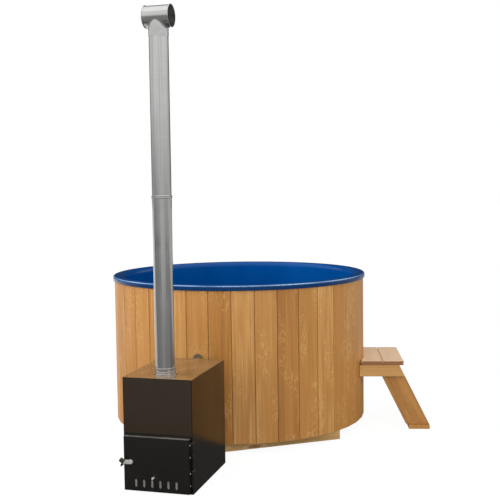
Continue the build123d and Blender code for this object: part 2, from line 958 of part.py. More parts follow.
def make_door_back():
    """The plate that closes the door's back, with a groove for the seal and the same air slots."""
    sheet = door_sheet
    clear = door_clear
    depth = seal_depth - (seal_reach - door_rear)
    rear = door_rear
    front = rear - depth - sheet
    plate = block(
        door_left + sheet + clear,
        door_right - sheet - clear,
        front,
        rear,
        door_bottom + sheet + clear,
        door_top - sheet - clear,
    )
    outer, inner = seal_frames()
    groove = (outer - inner) & block(-stove_width, stove_width, front + sheet, rear + sheet, 0, stove_height)
    plate -= groove
    pocket = block(
        door_left + 3 * seal_inset,
        door_right - 3 * seal_inset,
        front + sheet,
        rear + sheet,
        slot_bottom + slot_height + 2 * seal_inset,
        door_top - 3 * seal_inset,
    )
    plate -= pocket
    return plate - slots(slot_centre, front - sheet, rear + sheet)


def seal_frames():
    """The outer and inner blocks whose difference is the seal's path."""
    y0 = door_front
    y1 = stove_back
    left = door_left + door_sheet + seal_inset / 2
    right = door_right - door_sheet - seal_inset / 2
    low = door_bottom + door_sheet + door_clear + door_sheet
    high = door_top - door_sheet - seal_inset / 2
    outer = block(left, right, y0, y1, low, high)
    inner = block(left + seal_width, right - seal_width, y0, y1, low + seal_width, high - seal_width)
    return outer, inner


def make_door_seal():
    """The rope seal in the door's back."""
    clear = seal_gap
    front = seal_reach - seal_depth + clear
    outer, inner = seal_frames()
    size = outer.bounding_box()
    hollow = inner.bounding_box()
    ring = block(
        size.min.X + clear,
        size.max.X - clear,
        front,
        seal_reach,
        size.min.Z + clear,
        size.max.Z - clear,
    )
    ring -= block(
        hollow.min.X - clear,
        hollow.max.X + clear,
        front - seal_depth,
        seal_reach + seal_depth,
        hollow.min.Z - clear,
        hollow.max.Z + clear,
    )
    return fillet(ring.edges().group_by(Axis.Y)[-1], seal_width / 4)


def slider_span():
    """The slider's left and right ends at rest, past its own slots and past the door's."""
    reach = (slot_count - 1) / 2 * slot_pitch + slot_width / 2
    left = slot_centre - knob_travel() - reach - slider_margin
    return left, slot_centre + reach + slider_margin / 2


def slider_y():
    """The slider's front face, behind the door's sheet."""
    return door_front + door_sheet + slider_play


def slider_bottom():
    """The slider's lower edge, on the lower guide."""
    return door_bottom + door_sheet + guide_bar


def make_air_slider():
    """The plate that shuts the slots when its own stand between them."""
    left, right = slider_span()
    face = slider_y()
    plate = block(left, right, face, face + slider_thick, slider_bottom(), slider_top)
    return plate - slots(slot_centre - knob_travel(), face - slider_thick, face + 2 * slider_thick)


def make_slider_knob():
    """The turned knob on its stem, fixed to the slider."""
    start = (knob_start, door_front - knob_length, knob_height)
    knob = rod(start, (0, 1, 0), knob_diameter, knob_length - knob_neck)
    knob = fillet(knob.edges().filter_by(GeomType.CIRCLE), knob_fillet)
    neck = door_front - 2 * knob_neck
    return knob + rod((knob_start, neck, knob_height), (0, 1, 0), knob_stem, slider_y() - neck)


def make_slider_guides():
    """The stepped rails above and below the slider."""
    left, right = slider_span()
    right += knob_travel()
    inner_face = door_front + door_sheet
    bar_back = slider_y() + slider_thick + slider_play
    sheet_back = bar_back + guide_sheet
    low = slider_bottom()
    lower = block(left, right, inner_face, bar_back, low - guide_bar, low - slider_play)
    lower += block(left, right, bar_back, sheet_back, low - guide_bar, low + guide_lip)
    upper = block(left, right, inner_face, bar_back, slider_top + slider_play, slider_top + guide_bar)
    upper += block(left, right, bar_back, sheet_back, slider_top - guide_lip, slider_top + guide_bar)
    return group([lower, upper])


# Hinges


def screw_y():
    """The hinge screws' place across the door's side."""
    return (door_front + door_rear) / 2 - seal_gap


def hinge_barrels(height, outer_two):
    """One or two thirds of a hinge's barrel."""
    third = hinge_length / 3
    start = height - hinge_length / 2
    spans = ((0, 1), (2, 3)) if outer_two else ((1, 2),)
    barrels = []
    for low, high in spans:
        z0 = start + low * third + hinge_split / 2
        z1 = start + high * third - hinge_split / 2
        barrels.append((z0, z1))
    return barrels


def make_door_leaves():
    """The leaf on the door's side and the middle barrel of each hinge."""
    leaves = []
    for height in hinge_heights:
        z0 = height - hinge_length / 2
        z1 = height + hinge_length / 2
        back = hinge_y + hinge_leaf / 2
        leaf = block(door_right, door_right + hinge_leaf, door_front + door_sheet, back, z0, z1)
        for low, high in hinge_barrels(height, False):
            leaf += block(door_right, hinge_x, hinge_y - hinge_leaf / 2, back, low, high)
            leaf += rod((hinge_x, hinge_y, low), (0, 0, 1), hinge_barrel, high - low)
        leaf -= rod((hinge_x, hinge_y, 0), (0, 0, 1), hinge_pin + 2 * running_clear, stove_height)
        for side in (-1, 1):
            start = (door_right - hinge_leaf, screw_y(), height + side * screw_spread)
            leaf -= rod(start, (1, 0, 0), screw_shank + 2 * hole_clear, 4 * hinge_leaf)
        leaves.append(leaf)
    return group(leaves)


def make_casing_leaves():
    """The leaf on the casing's side and the outer barrels of each hinge."""
    side = stove_width / 2
    leaves = []
    for height in hinge_heights:
        z0 = height - hinge_length / 2
        z1 = height + hinge_length / 2
        leaf = block(side, side + hinge_leaf, stove_front, stove_front + hinge_leaf_reach, z0, z1)
        for low, high in hinge_barrels(height, True):
            leaf += rod((hinge_x, hinge_y, low), (0, 0, 1), hinge_barrel, high - low)
            leaf += block(side, side + hinge_leaf, hinge_y, stove_front, low, high)
        leaf -= rod((hinge_x, hinge_y, 0), (0, 0, 1), hinge_pin + 2 * running_clear, stove_height)
        leaves.append(leaf)
    return group(leaves)


def make_hinge_pins():
    """A headed pin through each hinge."""
    pins = []
    for height in hinge_heights:
        z0 = height - hinge_length / 2
        pin = rod((hinge_x, hinge_y, z0), (0, 0, 1), hinge_pin, hinge_length)
        pin += rod((hinge_x, hinge_y, z0 + hinge_length), (0, 0, 1), hinge_barrel, screw_head_thick)
        pins.append(pin)
    return group(pins)


def make_hinge_screws():
    """Two screws through each door leaf into the door's side."""
    screws = []
    face = door_right + hinge_leaf
    for height in hinge_heights:
        for side in (-1, 1):
            z = height + side * screw_spread
            tip = door_right - 2 * door_sheet
            shank = rod((tip, screw_y(), z), (1, 0, 0), screw_shank, face - tip)
            head = rod((face, screw_y(), z), (1, 0, 0), screw_head, screw_head_thick)
            head = fillet(head.edges().group_by(Axis.X)[-1], screw_head_thick / 2)
            screws.append(shank + head)
    return group(screws)


# Latch


def plate_front():
    """The latch plate's front face."""
    return door_front - latch_bush_thick - latch_plate_thick


def make_latch_bush():
    """The round plate on the door that the spindle turns in."""
    start = (latch_x, door_front - latch_bush_thick + seal_gap, latch_height)
    length = latch_bush_thick - seal_gap
    return tube(start, (0, 1, 0), latch_bush, latch_spindle + 2 * running_clear, length)


def make_latch_lever():
    """The flat bar on its spindle, with a bent rod that carries the grip."""
    front = plate_front()
    half = latch_plate_width / 2
    tip = latch_x - latch_plate_reach
    bar = block(tip, latch_x, front, front + latch_plate_thick, latch_height - half, latch_height + half)
    bar += rod((latch_x, front, latch_height), (0, 1, 0), latch_plate_width, latch_plate_thick)
    bar += rod((latch_x, front - latch_cap_thick, latch_height), (0, 1, 0), latch_cap, latch_cap_thick)
    bar += rod((latch_x, front, latch_height), (0, 1, 0), latch_spindle, door_front - front + 2 * door_sheet)
    start, direction = grip_axis()
    end = [start[i] + latch_rod_length * direction[i] for i in range(3)]
    path = FilletPolyline(
        (start[0], front + latch_plate_thick / 2, start[2]),
        start,
        tuple(end),
        radius=latch_rod_bend,
    )
    return bar + sweep(Plane(origin=path @ 0, z_dir=path % 0) * Circle(latch_rod / 2), path=path)


def keeper_front():
    """The keeper's foremost face."""
    return plate_front() - keeper_room - keeper_lip


def grip_axis():
    """The corner of the bent rod, clear of the keeper, and the grip's direction."""
    rise = math.radians(latch_grip_rise)
    y = keeper_front() - latch_grip_diameter / 2 - door_clear
    start = (latch_x - latch_grip_back, y, latch_height + latch_grip_up)
    return start, (-math.cos(rise), 0, math.sin(rise))


def make_latch_grip():
    """The black grip on the lever's rod."""
    start, direction = grip_axis()
    near = [start[i] + latch_grip_gap * direction[i] for i in range(3)]
    grip = rod(tuple(near), direction, latch_grip_diameter, latch_grip_length)
    grip = fillet(grip.edges().filter_by(GeomType.CIRCLE), latch_grip_fillet)
    return grip - rod(start, direction, latch_rod + 2 * hole_clear, latch_rod_length + hole_clear)


def make_keeper():
    """The hooked plate on the casing's side that the latch bar drops into."""
    side = -stove_width / 2
    front = keeper_front()
    back = stove_front + keeper_reach
    lip_top = latch_height - latch_plate_width / 2 - keeper_room
    notch_low = lip_top - keeper_drop
    notch_back = plate_front() + latch_plate_thick + keeper_room
    plate = block(side - keeper_thick, side, front, back, notch_low - keeper_floor, lip_top)
    notch = block(
        side - 2 * keeper_thick,
        side + keeper_thick,
        front + keeper_lip,
        notch_back,
        notch_low,
        lip_top + keeper_drop,
    )
    return plate - notch


# Chimney


def ring_bead(outer, height, width, proud, wall):
    """A round bead pressed out of a pipe's wall, as a turned ring."""
    inner = outer / 2 - wall
    points = [
        (inner, height),
        (outer / 2 + proud, height),
        (outer / 2 + proud, height + width),
        (inner, height + width),
    ]
    rounding = min(proud, width / 2) * 0.9
    return turned(points, [0, rounding, rounding, 0])


def make_flue_collar():
    """The socket through the stove's top that the chimney stands in."""
    outer = collar_outer()
    inner = flue_diameter + 2 * flue_fit
    start = firebox_top - firebox_wall
    pipe = tube((0, 0, start), (0, 0, 1), outer, inner, collar_top - start)
    flange = tube((0, 0, stove_height), (0, 0, 1), outer + 2 * collar_flange, inner, collar_flange_thick)
    stop_low = stove_height + collar_flange_thick - collar_bead
    stop = tube((0, 0, stop_low), (0, 0, 1), outer, inner - 2 * collar_wall, collar_bead)
    collar = pipe + flange + stop
    for low in (collar_top - collar_bead, collar_top - collar_bead - collar_bead_step):
        collar += ring_bead(outer, low, collar_bead, collar_wall / 2, collar_wall)
    return Pos(0, flue_y, 0) * collar


def make_lower_flue():
    """The lower section, with a bead at its top edge."""
    low = stove_height + collar_flange_thick
    bore = flue_diameter - 2 * flue_wall
    pipe = tube((0, 0, low), (0, 0, 1), flue_diameter, bore, lower_flue_top - low)
    bead_low = lower_flue_top - flue_bead_height
    bead = ring_bead(flue_diameter, bead_low, flue_bead_height, flue_bead, flue_wall)
    return Pos(0, flue_y, 0) * (pipe + bead)


def upper_flue_outer():
    """Outer diameter of the upper section, which slides into the lower one."""
    return flue_diameter - 2 * flue_wall - 2 * flue_fit


def make_upper_flue():
    """The upper section, whose bead rests on the lower one."""
    outer = upper_flue_outer()
    low = lower_flue_top - flue_insert
    top = cap_height - cap_diameter / 2 + flue_wall
    pipe = tube((0, 0, low), (0, 0, 1), outer, outer - 2 * flue_wall, top - low)
    proud = flue_bead + (flue_diameter - outer) / 2
    bead = ring_bead(outer, lower_flue_top, flue_bead_height, proud, flue_wall)
    return Pos(0, flue_y, 0) * (pipe + bead)


def tee_form(run_diameter, branch_diameter, blend):
    """A level cylinder and one that hangs from it, with their joint rounded."""
    run = rod((-cap_half_length, 0, 0), (1, 0, 0), run_diameter, 2 * cap_half_length)
    form = run + rod((0, 0, -cap_sleeve), (0, 0, 1), branch_diameter, cap_sleeve)
    joint = [edge for edge in form.edges() if edge.geom_type not in (GeomType.CIRCLE, GeomType.LINE)]
    return fillet(joint, blend)


def make_tee_cap():
    """The T of two joined tubes with rolled ends, its arms across the stove."""
    wall = flue_wall
    sleeve_inner = upper_flue_outer() + 2 * flue_fit
    blend = min(cap_blend, cap_half_length - sleeve_inner / 2 - 2 * wall)
    cap = tee_form(cap_diameter, sleeve_inner + 2 * wall, blend)
    for start in (-cap_half_length, cap_half_length - cap_lip_width):
        lip = rod((start, 0, 0), (1, 0, 0), cap_diameter + 2 * cap_lip, cap_lip_width)
        cap += fillet(lip.edges(), cap_lip_width / 2.5)
    cap -= tee_form(cap_diameter - 2 * wall, sleeve_inner, blend + wall)
    return Pos(0, flue_y, cap_height) * cap


# Steps


def step_side(shape):
    """Turn a shape drawn along X to stand out from the tub at the steps."""
    return at_angle(steps_angle) * shape


def wall_cutter():
    """The round of the cladding that the steps are cut to."""
    return rod((0, 0, 0), (0, 0, 1), 2 * (stave_corner + wall_clear), tub_height)


def make_tread(outer_edge):
    """One tread board, its groove on the outer edge, scribed to the cladding."""
    half = steps_width / 2
    profile = board_profile(board_width)
    centre = (outer_edge - board_width / 2, -half, tread_bottom)
    plane = Plane(origin=centre, x_dir=(1, 0, 0), z_dir=(0, -1, 0))
    board = extrude(plane * profile, amount=-steps_width)
    return step_side(board) - wall_cutter()


def leg_edge(height):
    """Distance of the leg's outer edge from the axis at a height."""
    return steps_reach - leg_setback + (tread_bottom - height) * math.tan(math.radians(leg_lean))


def make_rails():
    """The two rails under the treads' ends, cut off in line with the legs."""
    half = steps_width / 2
    top = tread_bottom
    low = top - rail_height
    start = tub_radius / 2
    outline = Polyline(
        (start, 0, low), (leg_edge(low), 0, low), (leg_edge(top), 0, top), (start, 0, top), close=True
    )
    rail = extrude(make_face(outline), amount=board_thick, dir=(0, 1, 0))
    rails = []
    for y in (-half, half - board_thick):
        rails.append(step_side(Pos(0, y, 0) * rail) - wall_cutter())
    return group(rails)


def make_legs():
    """The two leaning leg boards inside the rails."""
    half = steps_width / 2
    top = tread_bottom
    across = board_width / math.cos(math.radians(leg_lean))
    outline = Polyline(
        (leg_edge(board_thick) - across, 0, board_thick),
        (leg_edge(board_thick), 0, board_thick),
        (leg_edge(top), 0, top),
        (leg_edge(top) - across, 0, top),
        close=True,
    )
    leg = extrude(make_face(outline), amount=board_thick, dir=(0, 1, 0))
    return group([step_side(Pos(0, y, 0) * leg) for y in (-half + board_thick, half - 2 * board_thick)])


def make_sole():
    """The board on the floor that joins the legs' feet."""
    half = steps_width / 2
    outer = leg_edge(board_thick)
    return step_side(block(outer - board_width, outer, -half, half, 0, board_thick))


def make_ledger():
    """The board on the tub's wall that the inner tread rests on."""
    half = steps_width / 2 - board_thick
    start = stave_corner + wall_clear
    low = tread_bottom - rail_height
    return step_side(block(start, start + board_thick, -half, half, low, tread_bottom))


# Build and save

os.makedirs("parts", exist_ok=True)

staves = make_staves()
for panel in range(cladding_panels):
    first = panel * stave_count // cladding_panels
    last = (panel + 1) * stave_count // cladding_panels
    write(f"cladding_{panel + 1}", group(staves[first:last]))

former_places = {
    "bottom": deck_top,
    "middle": upper_line_height + hose_hole_rise + hose_hole / 2 + former_over_hole,
    "top": tub_height - rim_skirt - former_height,
}
for place, bottom in former_places.items():
    write(f"former_ring_{place}", make_former(bottom))

write("bearers", make_bearers())
write("base_deck", make_deck())
write("bench_posts", make_bench_posts())
write("liner", make_liner())

line_heights = (upper_line_height, lower_line_height)
write("water_fittings", group([make_fitting(height) for height in line_heights]))
write("hose_upper", make_hose(upper_line_height))
write("hose_lower", make_hose(lower_line_height))
write("guard_grilles", group([make_grille(height) for height in line_heights]))
write("backing_nuts", group([make_nut(height) for height in line_heights] + [make_drain_nut()]))
write("hose_clamps", make_clamps())

write("drain_flange", make_drain_flange())
write("drain_plug", make_plug())
write("drain_elbow", make_drain_elbow())
write("drain_pipe", make_drain_pipe())
write("valve_body", make_valve_body())
write("valve_tailpiece", make_valve_tailpiece())
write("valve_ball", make_valve_ball())
write("valve_lever", make_valve_lever())
write("valve_grip", make_valve_grip())

write("stove_casing", make_casing())
write("front_panel", make_front_panel())
write("firebox", make_firebox())
write("grate", make_grate())
write("ash_pan", make_ash_pan())
write("smoke_baffle", make_baffle())
write("water_stubs", make_stubs())
write("flue_collar", make_flue_collar())

write("door_shell", make_door_shell())
write("door_back", make_door_back())
write("door_seal", make_door_seal())
write("air_slider", make_air_slider())
write("slider_knob", make_slider_knob())
write("slider_guides", make_slider_guides())
write("hinge_leaves_door", make_door_leaves())
write("hinge_leaves_casing", make_casing_leaves())
write("hinge_pins", make_hinge_pins())
write("hinge_screws", make_hinge_screws())
write("latch_bush", make_latch_bush())
write("latch_lever", make_latch_lever())
write("latch_grip", make_latch_grip())
write("latch_keeper", make_keeper())

write("flue_lower", make_lower_flue())
write("flue_upper", make_upper_flue())
write("tee_cap", make_tee_cap())

write("tread_outer", make_tread(steps_reach))
write("tread_inner", make_tread(steps_reach - board_width - tread_gap))
write("step_rails", make_rails())
write("step_legs", make_legs())
write("step_sole", make_sole())
write("step_ledger", make_ledger())
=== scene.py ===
import json
import math

import bpy
from mathutils import Matrix, Vector


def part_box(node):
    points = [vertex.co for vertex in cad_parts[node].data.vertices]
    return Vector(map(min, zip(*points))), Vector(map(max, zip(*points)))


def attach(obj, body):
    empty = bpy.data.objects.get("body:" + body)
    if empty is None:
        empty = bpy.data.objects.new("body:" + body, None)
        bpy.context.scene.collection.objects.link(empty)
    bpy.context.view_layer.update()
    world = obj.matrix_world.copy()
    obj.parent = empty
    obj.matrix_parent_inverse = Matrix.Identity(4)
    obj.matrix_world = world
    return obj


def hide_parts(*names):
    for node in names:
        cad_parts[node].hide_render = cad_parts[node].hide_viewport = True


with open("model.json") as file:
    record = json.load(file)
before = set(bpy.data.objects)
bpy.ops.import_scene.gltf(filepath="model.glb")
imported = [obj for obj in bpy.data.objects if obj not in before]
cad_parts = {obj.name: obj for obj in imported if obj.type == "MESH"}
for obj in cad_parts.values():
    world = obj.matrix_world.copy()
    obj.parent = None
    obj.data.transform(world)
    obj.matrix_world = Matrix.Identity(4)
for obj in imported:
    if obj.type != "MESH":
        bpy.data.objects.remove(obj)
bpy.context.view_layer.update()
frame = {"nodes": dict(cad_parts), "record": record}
nodes = frame["nodes"]

# Boards of the cladding, the steps and the base
board_count = 38
first_board = math.radians(-91.3)
board_pitch = 2 * math.pi / board_count
cladding_radius = 0.9
timber_width = 0.148
steps_turn = math.radians(12.0)
bearer_turn = math.radians(34.7)
leg_lean = math.radians(26.3)
quarter = math.pi / 2

# Shift of a board's grain: along it, times the board's chance, and across it, times its number
cladding_shift = (9.0, 1.37)
timber_shift = (5.0, 0.9)

# Liner's rim: the painted highlight line on its crest, the painted shade on its skirt, and where the bare
# laminate begins outside
_, liner_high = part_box("liner")
rim_radius = liner_high.x
rim_height = liner_high.z
crest_radius = rim_radius - 0.0055
crest_height = rim_height - 0.0045
crest_reach = (0.0015, 0.0052)
skirt_radii = (rim_radius - 0.008, rim_radius - 0.002)
skirt_heights = (rim_height - 0.011, rim_height - 0.006)
bare_heights = (rim_height - 0.045, rim_height - 0.04)

# Air slots of the stove door, chimney and its cap
slot_top = 0.079
black_fade = 0.003
flue_low, flue_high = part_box("flue_lower")
flue_y = (flue_low.y + flue_high.y) / 2
cap_low, cap_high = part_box("tee_cap")
cap_lip = 0.0035
soot_inset = 0.0006
soot_fade = 0.0002

# Hose hole in the cladding and the grommet in it
hose_centre = Vector((-0.020, -0.898, 0.595))
hose_radius = 0.0255
hole_rise = 0.013
hole_radius = 0.0395
grommet_setback = 0.012
grommet_depth = 0.016
grommet_lip = 0.006
grommet_sink = 0.009
grommet_fade = 0.0005
hose_way_depth = 0.05


# Finishes


class Nodes:
    """A node tree, with a short call for each kind of shader node."""

    def __init__(self, tree):
        self.tree = tree

    def give(self, node, key, value):
        """Set an input, or link another node's output to it."""
        if isinstance(value, bpy.types.NodeSocket):
            self.tree.links.new(value, node.inputs[key])
        else:
            node.inputs[key].default_value = value

    def add(self, kind, inputs, **settings):
        """A new node with its settings and inputs."""
        node = self.tree.nodes.new("ShaderNode" + kind)
        for key, value in settings.items():
            setattr(node, key, value)
        for key, value in inputs.items():
            self.give(node, key, value)
        return node

    def parts(self, vector):
        """The X, Y and Z of a vector."""
        return self.add("SeparateXYZ", {"Vector": vector}).outputs

    def vector(self, x, y, z):
        """A vector from its X, Y and Z."""
        return self.add("CombineXYZ", {0: x, 1: y, 2: z}).outputs[0]

    def mapped(self, vector, scale=(1, 1, 1), turn=(0, 0, 0), move=(0, 0, 0)):
        """A vector turned, then scaled and moved."""
        turned = self.add("Mapping", {"Vector": vector, "Rotation": turn}).outputs[0]
        return self.add("Mapping", {"Vector": turned, "Scale": scale, "Location": move}).outputs[0]

    def noise(self, vector, scale=1.0, detail=4.0, roughness=0.5, distortion=0.0):
        """Soft noise from 0 to 1."""
        inputs = {"Vector": vector, "Scale": scale, "Detail": detail, "Roughness": roughness}
        inputs["Distortion"] = distortion
        return self.add("TexNoise", inputs).outputs[0]

    def cells(self, vector, scale=1.0):
        """Distance to the nearest of some scattered points, and that point's own chance from 0 to 1."""
        node = self.add("TexVoronoi", {"Vector": vector, "Scale": scale})
        return node.outputs["Distance"], self.parts(node.outputs["Color"])[0]

    def rings(self, vector, scale, distortion):
        """Rings about X, like those on the end of a board."""
        inputs = {"Vector": vector, "Scale": scale, "Distortion": distortion, "Detail": 2.0}
        return self.add("TexWave", inputs, wave_type="RINGS").outputs["Fac"]

    def number_chance(self, number):
        """A random number from 0 to 1 for each whole number."""
        return self.add("TexWhiteNoise", {"W": number}, noise_dimensions="1D").outputs["Value"]

    def sum(self, operation, a, b=0.0):
        """One sum on numbers, named by its operation."""
        return self.add("Math", {0: a, 1: b}, operation=operation).outputs[0]

    def plus(self, a, b):
        """a + b."""
        return self.sum("ADD", a, b)

    def minus(self, a, b):
        """a - b."""
        return self.sum("SUBTRACT", a, b)

    def times(self, a, b):
        """a times b."""
        return self.sum("MULTIPLY", a, b)

    def over(self, a, b):
        """a divided by b."""
        return self.sum("DIVIDE", a, b)

    def distance(self, a, b):
        """How far a point is from an axis, from its two offsets."""
        return self.sum("SQRT", self.plus(self.times(a, a), self.times(b, b)))

    def along(self, x, y, way):
        """How far a point lies along a level direction."""
        return self.plus(self.times(x, way[0]), self.times(y, way[1]))

    def between(self, value, low, high, first=0.0, last=1.0):
        """A value taken smoothly from one range to another."""
        inputs = {"Value": value, "From Min": low, "From Max": high, "To Min": first, "To Max": last}
        return self.add("MapRange", inputs, interpolation_type="SMOOTHSTEP").outputs[0]

    def near(self, value, middle, reach):
        """1 where a value is at a middle, falling smoothly to 0 at its reach."""
        return self.between(self.sum("ABSOLUTE", self.minus(value, middle)), 0.0, reach, 1.0, 0.0)

    def shifted(self, a, b, share):
        """The number a taken towards b by a share."""
        return self.plus(a, self.times(share, self.minus(b, a)))

    def blend(self, a, b, share):
        """Two colours mixed."""
        colours = [(*c, 1) if isinstance(c, tuple) else c for c in (a, b)]
        inputs = {0: share, 6: colours[0], 7: colours[1]}
        return self.add("Mix", inputs, data_type="RGBA").outputs[2]

    def ray_kind(self, kind):
        """1 for one kind of ray, such as camera rays, and 0 for the others."""
        return self.add("LightPath", {}).outputs[kind]


class Finish(Nodes):
    """One material."""

    def __init__(self, name, colour, roughness, metallic=0.0):
        self.material = bpy.data.materials.new(name)
        self.material.use_nodes = True
        super().__init__(self.material.node_tree)
        self.shader = self.tree.nodes["Principled BSDF"]
        self.give(self.shader, "Base Color", (*colour, 1))
        self.give(self.shader, "Roughness", roughness)
        self.give(self.shader, "Metallic", metallic)

    def place(self):
        """Object coordinates."""
        return self.add("TexCoord", {}).outputs["Object"]

    def facing(self):
        """The surface's own direction."""
        return self.add("TexCoord", {}).outputs["Normal"]

    def colour(self, value):
        """Use a colour for the surface."""
        self.give(self.shader, "Base Color", value)

    def rough(self, value):
        """Use a roughness for the surface."""
        self.give(self.shader, "Roughness", value)

    def relief(self, height, depth, strength):
        """Small bumps of a depth in metres."""
        inputs = {"Height": height, "Distance": depth, "Strength": strength}
        self.give(self.shader, "Normal", self.add("Bump", inputs).outputs[0])


def toned(colour, share):
    """A colour made darker or lighter by a share."""
    return tuple(share * c for c in colour)


def grain(wood, vector, chance, tones, spread):
    """Wood grain along X of a vector; each board's own chance shifts its tone by up to half the spread."""
    light, middle, dark = tones
    wander = wood.noise(wood.mapped(vector, scale=(0.8, 4, 4)), detail=2.0)
    figure = wood.noise(wood.mapped(vector, scale=(0.9, 24, 24)), detail=3.0, roughness=0.55, distortion=1.1)
    fibres = wood.noise(wood.mapped(vector, scale=(2.4, 170, 170)), detail=3.0, roughness=0.6, distortion=0.3)
    tone = wood.plus(wood.times(figure, 0.62), wood.times(fibres, 0.38))
    tone = wood.plus(tone, wood.times(wood.minus(chance, 0.5), spread))
    tone = wood.plus(tone, wood.times(wood.minus(wander, 0.5), 0.3))
    base = wood.blend(dark, middle, wood.between(tone, 0.18, 0.5))
    base = wood.blend(base, light, wood.between(tone, 0.5, 0.86))
    base = wood.blend(base, light, flares(wood, vector))
    return knots(wood, vector, base, tones), fibres


def flares(wood, vector):
    """Pale curly marks, in patches: short thin lines where a swirling noise passes its middle."""
    swirl = wood.noise(wood.mapped(vector, scale=(13, 24, 24)), detail=2.0, distortion=1.4)
    patch = wood.noise(wood.mapped(vector, scale=(2.6, 7, 7)), detail=2.0)
    marks = wood.times(wood.near(swirl, 0.5, 0.05), wood.between(patch, 0.47, 0.62))
    return wood.times(marks, 0.62)


def knots(wood, vector, base, tones):
    """A few small knots, each with a pale ring about a darker heart."""
    light, _, dark = tones
    distance, chance = wood.cells(wood.mapped(vector, scale=(1.5, 6.5, 6.5)))
    present = wood.between(chance, 0.55, 0.6)
    ring = wood.times(present, wood.near(distance, 0.1, 0.05))
    heart = wood.times(present, wood.between(distance, 0.045, 0.085, 0.7, 0.0))
    base = wood.blend(base, light, wood.times(ring, 0.7))
    return wood.blend(base, toned(dark, 0.7), heart)


def cladding_finish():
    """Oiled softwood boards: each board round the tub has its own tone and its own grain, with a painted
    highlight along its edges.
    """
    wood = Finish("oiled_cladding", (0.42, 0.2, 0.06), 0.45)
    along, across = cladding_shift
    x, y, z = wood.parts(wood.place())
    angle = wood.sum("ARCTAN2", y, x)
    turns = wood.plus(wood.times(angle, 1 / board_pitch), 0.5 - first_board / board_pitch)
    number = wood.sum("FLOORED_MODULO", wood.sum("FLOOR", turns), board_count)
    chance = wood.number_chance(number)
    share = wood.sum("FRACT", turns)
    sideways = wood.plus(wood.times(number, across), wood.times(share, cladding_radius * board_pitch))
    height = wood.plus(wood.times(chance, along), z)
    tones = ((0.64, 0.36, 0.125), (0.44, 0.196, 0.042), (0.325, 0.13, 0.022))
    base, fibres = grain(wood, wood.vector(height, sideways, wood.distance(x, y)), chance, tones, spread=0.3)
    edge = wood.sum("ABSOLUTE", wood.minus(share, 0.5))
    # Painted highlight: each board's edges are blended towards the light tone, as if light caught the chamfers.
    base = wood.blend(base, tones[0], wood.between(edge, 0.47, 0.49, 0.0, 0.6))
    wood.colour(base)
    wood.rough(wood.between(fibres, 0.2, 0.8, 0.54, 0.40))
    wood.relief(fibres, depth=0.0005, strength=0.35)
    return wood.material


def timber_finish(name, tones, turns, roughness=0.55, end_tone=None):
    """Boards that lie side by side: the grain runs along X once turned, and each board has its tone."""
    wood = Finish(name, tones[1], roughness)
    along, across = timber_shift
    local = wood.place()
    facing = wood.facing()
    for turn in turns:
        local = wood.mapped(local, turn=turn)
        facing = wood.add("Mapping", {"Vector": facing, "Rotation": turn}, vector_type="NORMAL").outputs[0]
    x, y, z = wood.parts(local)
    number = wood.sum("FLOOR", wood.times(y, 1 / timber_width))
    chance = wood.number_chance(number)
    length = wood.plus(wood.times(chance, along), x)
    sideways = wood.plus(wood.times(number, across), y)
    base, fibres = grain(wood, wood.vector(length, sideways, z), chance, tones, spread=0.2)
    if end_tone:
        pith = wood.mapped(local, scale=(1, 1, 1.6), move=(0, 0.05, 0.09))
        end_colour = wood.blend(end_tone, toned(end_tone, 0.72), wood.rings(pith, scale=34.0, distortion=3.0))
        end = wood.between(wood.sum("ABSOLUTE", wood.parts(facing)[0]), 0.6, 0.8)
        base = wood.blend(base, end_colour, end)
    wood.colour(base)
    wood.rough(wood.between(fibres, 0.2, 0.8, roughness + 0.08, roughness - 0.08))
    wood.relief(fibres, depth=0.0006, strength=0.4)
    return wood.material


def liner_finish():
    """Blue gelcoat inside and over the rim, with a painted highlight line on its crest and painted shade on its
    skirt, and bare amber laminate outside.
    """
    gel = Finish("blue_gelcoat", (0.0, 0.068, 0.28), 0.1)
    place = gel.place()
    x, y, z = gel.parts(place)
    nx, ny, nz = gel.parts(gel.facing())
    radius = gel.distance(x, y)
    outward = gel.over(gel.along(x, y, (nx, ny)), gel.sum("MAXIMUM", radius, 0.001))
    cloud = gel.noise(place, scale=3.0, detail=3.0)
    strands = gel.noise(place, scale=180.0, roughness=0.7, distortion=1.5)
    blue = gel.blend((0.0, 0.064, 0.265), (0.001, 0.076, 0.305), gel.between(cloud, 0.3, 0.7))
    # Painted shade: the skirt under the rim's crest is painted a darker blue.
    skirt_shade = gel.times(gel.between(radius, *skirt_radii), gel.between(z, *skirt_heights, 1.0, 0.0))
    blue = gel.blend(blue, (0.003, 0.030, 0.105), skirt_shade)
    # Painted highlight: a pale line along the rim's crest, broken up by noise.
    from_crest = gel.distance(gel.minus(z, crest_height), gel.minus(radius, crest_radius))
    highlight_breakup = gel.between(gel.noise(place, scale=4.0, detail=3.0), 0.25, 0.6, 0.35, 1.0)
    crest_highlight = gel.times(gel.between(from_crest, *crest_reach, 0.95, 0.0), highlight_breakup)
    blue = gel.blend(blue, (0.34, 0.54, 0.80), crest_highlight)
    bare = gel.blend((0.13, 0.10, 0.06), (0.34, 0.28, 0.19), gel.between(strands, 0.35, 0.65))
    outside = gel.sum("MAXIMUM", gel.between(outward, 0.1, 0.3), gel.between(nz, -0.5, -0.3, 1.0, 0.0))
    outside = gel.times(outside, gel.between(z, *bare_heights, 1.0, 0.0))
    gel.colour(gel.blend(blue, bare, outside))
    gel.rough(gel.sum("MAXIMUM", gel.between(cloud, 0.3, 0.7, 0.07, 0.11), gel.times(outside, 0.6)))
    gel.relief(gel.noise(place, scale=9.0, detail=2.0), depth=0.0012, strength=0.2)
    gel.give(gel.shader, "Specular IOR Level", 0.2)
    return gel.material


